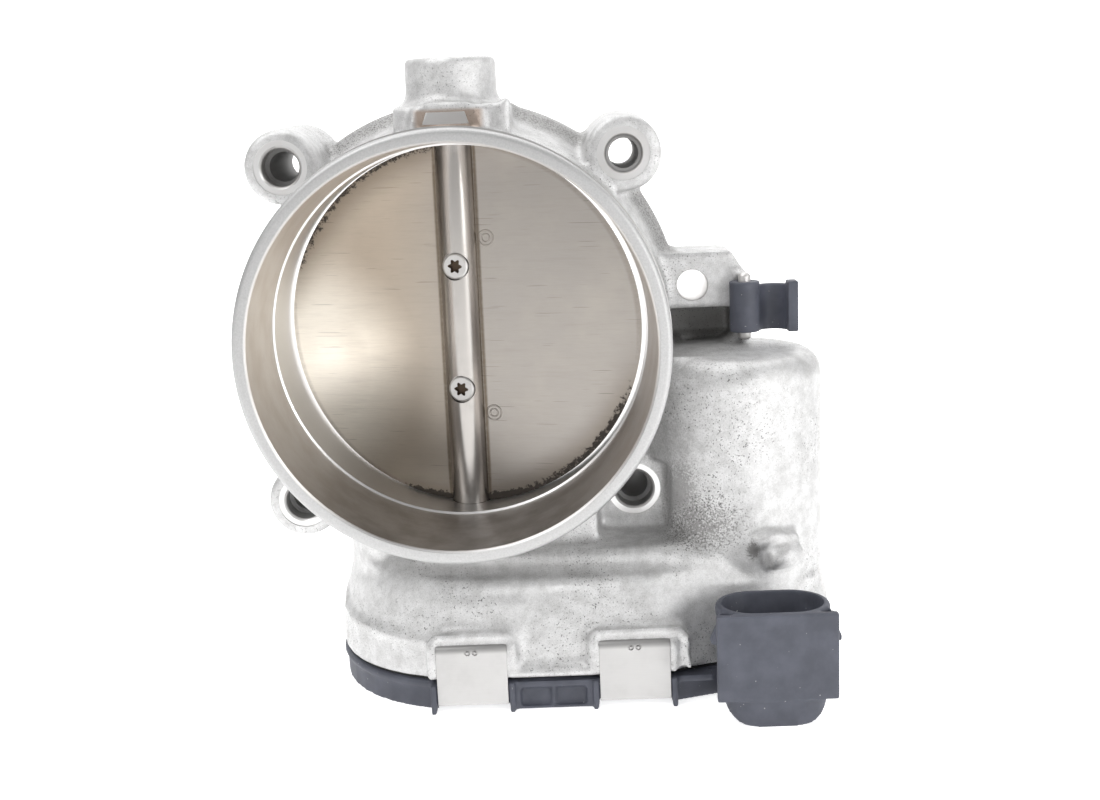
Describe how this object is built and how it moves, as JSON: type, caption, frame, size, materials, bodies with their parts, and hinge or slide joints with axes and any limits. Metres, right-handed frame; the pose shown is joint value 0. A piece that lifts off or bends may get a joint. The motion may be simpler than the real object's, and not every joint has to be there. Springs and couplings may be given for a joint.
{
  "type": "electronic throttle body",
  "caption": "Cast housing with a round air bore, a butterfly plate on a cross shaft, a side motor, and a gear train under a clipped plastic cover with a socket.",
  "frame": {"origin": "centre of the bore in the rear mounting face", "axes": "+Y with the air flow, out of the mounting face; +Z along the throttle shaft towards the closed bearing boss; +X from the bore to the motor"},
  "size_m": [0.1329, 0.0709, 0.1396],
  "materials": {
    "cast_aluminium": "as-cast, lightly blasted, machined faces",
    "bright_steel": "ground",
    "plate_metal": "brushed, lightly stained",
    "zinc_steel": "zinc plated",
    "stainless": "satin sheet",
    "black_plastic": "moulded, glass filled",
    "gear_plastic": "moulded",
    "seal_rubber": "moulded",
    "magnet": "ground ferrite",
    "brass": "machined",
    "copper_winding": "enamelled wire on laminations",
    "gold_plate": "plated",
    "board_green": "solder mask",
    "spring_steel": "drawn wire"
  },
  "bodies": {
    "root": {"throttle_housing": "cast_aluminium", "shaft_end_plug": "zinc_steel", "upper_bearing": "bright_steel", "lower_bearing": "bright_steel", "shaft_seals": "seal_rubber", "return_spring": "spring_steel", "spring_bush": "gear_plastic", "stop_screw": "zinc_steel", "idler_pin": "bright_steel", "motor_can": "zinc_steel", "field_magnets": "magnet", "motor_bearings": "brass", "brush_holder": "black_plastic", "motor_plate": "zinc_steel", "motor_screws": "zinc_steel", "wave_washer": "spring_steel", "gear_cover": "black_plastic", "cover_gasket": "seal_rubber", "cover_clips": "stainless", "sensor_board": "board_green", "motor_contacts": "gold_plate", "connector_terminals": "gold_plate", "cable_clip_pin": "bright_steel"},
    "throttle": {"throttle_shaft": "bright_steel", "throttle_plate": "plate_metal", "plate_screws": "zinc_steel", "throttle_gear": "gear_plastic", "sensor_magnet": "magnet"},
    "idler": {"idler_gear": "gear_plastic"},
    "rotor": {"motor_shaft": "bright_steel", "armature": "copper_winding", "commutator": "brass", "motor_pinion": "brass"},
    "cable_clip": {"cable_clip": "black_plastic"}
  },
  "joints": [
    {"name": "throttle_turn", "type": "hinge", "parent": "root", "child": "throttle", "pos_m": [0, -0.025, 0], "axis": [0, 0, -1], "range_deg": [-5.7, 76.3], "stiffness_Nm_per_rad": 0.02},
    {"name": "idler_turn", "type": "hinge", "parent": "root", "child": "idler", "pos_m": [0.02945, -0.02891, -0.065], "axis": [0, 0, -1], "range_deg": [-132, 10]},
    {"name": "rotor_turn", "type": "hinge", "parent": "root", "child": "rotor", "pos_m": [0.06022, -0.027, -0.04], "axis": [0, 0, -1], "range_deg": [-36, 478]},
    {"name": "cable_clip_swing", "type": "hinge", "parent": "root", "child": "cable_clip", "pos_m": [0.0643, -0.0238, 0.0018], "axis": [0, 0, -1], "range_deg": [-10, 60]}
  ],
  "couplings": [
    {"joint": "idler_turn", "follows": "throttle_turn", "ratio": -1.7273},
    {"joint": "rotor_turn", "follows": "throttle_turn", "ratio": 6.2614}
  ]
}
